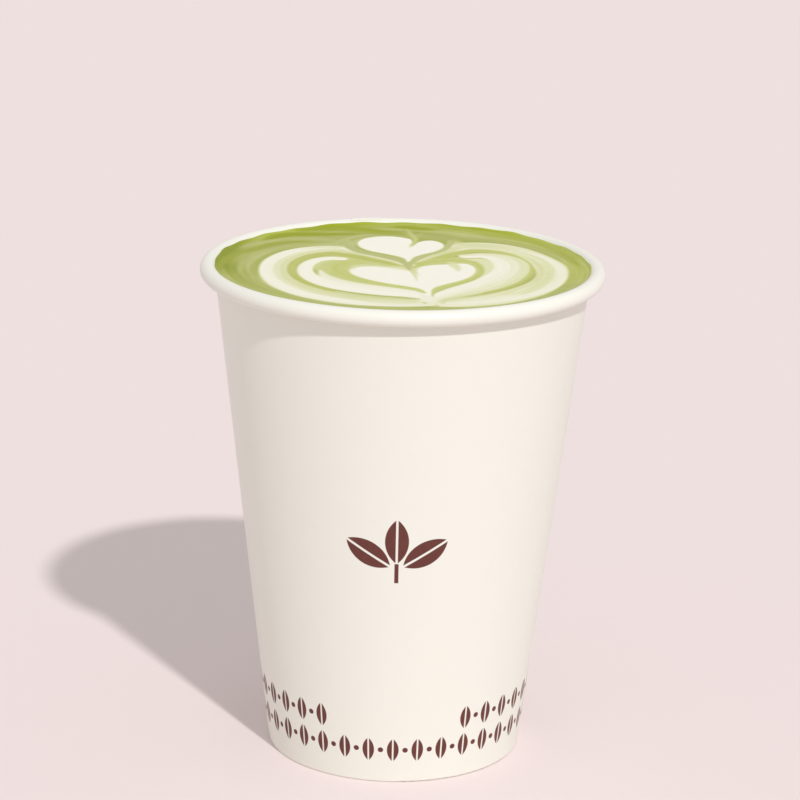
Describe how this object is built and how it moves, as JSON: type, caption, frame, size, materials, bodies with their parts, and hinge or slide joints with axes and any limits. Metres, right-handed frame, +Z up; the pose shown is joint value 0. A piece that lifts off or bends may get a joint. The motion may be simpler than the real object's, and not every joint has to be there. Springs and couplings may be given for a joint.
{
  "type": "matcha latte in a paper cup",
  "caption": "Green milk tea with layered-heart latte art, filled to the brim of a round tapered paper cup with a rolled rim and a recessed base.",
  "frame": {"origin": "centre of the circle that the cup stands on", "axes": "+Z up along the cup's axis; the cup's side seam is at the back, towards +Y, and the printed mark is at the front, towards -Y"},
  "size_m": [0.09, 0.09, 0.1126],
  "materials": {
    "cup_paper": "smooth coated white paper with a plain dark brown print",
    "base_paper": "smooth white paper",
    "matcha_latte": "fine wet foam, milk white and green"
  },
  "bodies": {
    "root": {"cup_wall": "cup_paper", "cup_base": "base_paper", "drink": "matcha_latte"}
  },
  "joints": []
}
